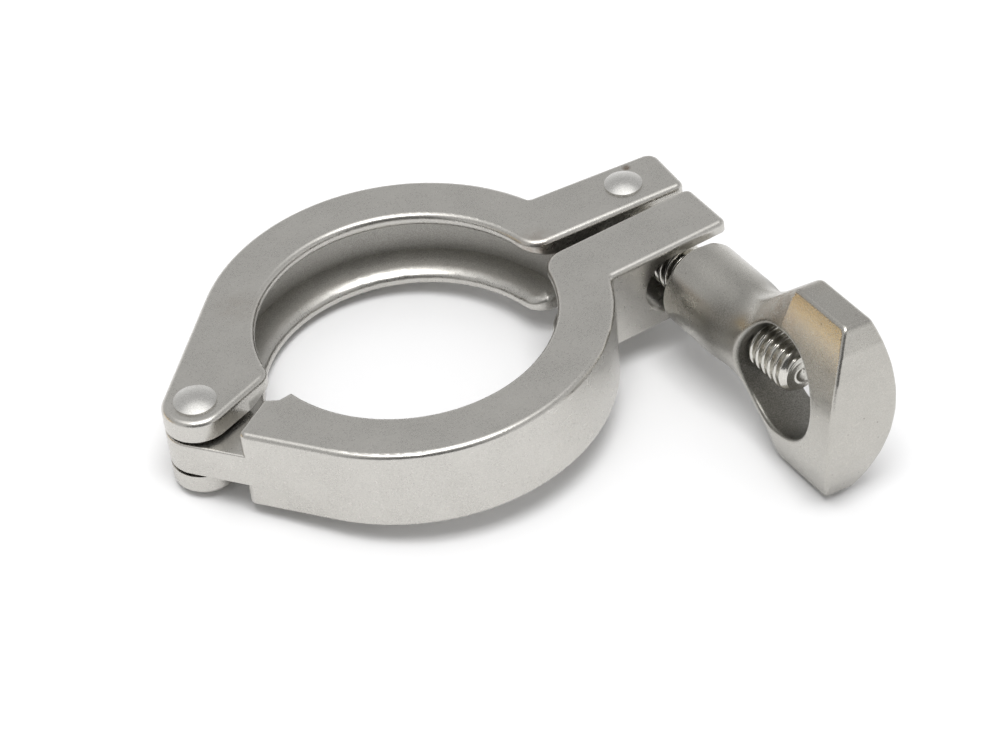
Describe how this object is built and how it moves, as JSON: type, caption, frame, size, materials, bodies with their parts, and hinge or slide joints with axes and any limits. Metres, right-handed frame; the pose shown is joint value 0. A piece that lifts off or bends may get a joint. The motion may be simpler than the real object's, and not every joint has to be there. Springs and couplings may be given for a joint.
{
  "type": "sanitary hinged clamp",
  "caption": "hinged two-jaw clamp that grips a pair of sanitary ferrules in a V groove, closed by a swing-out eye bolt with a windowed wing nut",
  "frame": {"origin": "centre of the bore, at mid height of the jaws", "axes": "+Z runs along the pipe, the hinge lies at -X, the arms point to +X, the bolt and its nut to -Y"},
  "size_m": [0.0914, 0.0818, 0.0308],
  "materials": {
    "jaw_steel": "tumbled",
    "rivet_steel": "satin",
    "bolt_steel": "bright",
    "nut_steel": "tumbled"
  },
  "bodies": {
    "rear_half": {"rear_jaw": "jaw_steel", "hinge_pin": "rivet_steel", "bolt_pin": "rivet_steel"},
    "front_half": {"front_jaw": "jaw_steel"},
    "bolt": {"eye_bolt": "bolt_steel"},
    "nut": {"wing_nut": "nut_steel"}
  },
  "joints": [
    {"name": "nut_travel", "type": "slide", "parent": "bolt", "child": "nut", "axis": [0.0854, -0.9963, 0], "range_m": [0, 0.0085]},
    {"name": "jaw_open", "type": "hinge", "parent": "rear_half", "child": "front_half", "pos_m": [-0.034, 0, 0], "axis": [0, 0, -1], "range_deg": [0, 6.3]},
    {"name": "bolt_swing", "type": "hinge", "parent": "rear_half", "child": "bolt", "pos_m": [0.0412, 0.0074, 0], "axis": [0, 0, 1], "range_deg": [0, 110]}
  ],
  "couplings": [
    {"joint": "jaw_open", "follows": "nut_travel", "rad_per_m": 12.5}
  ]
}
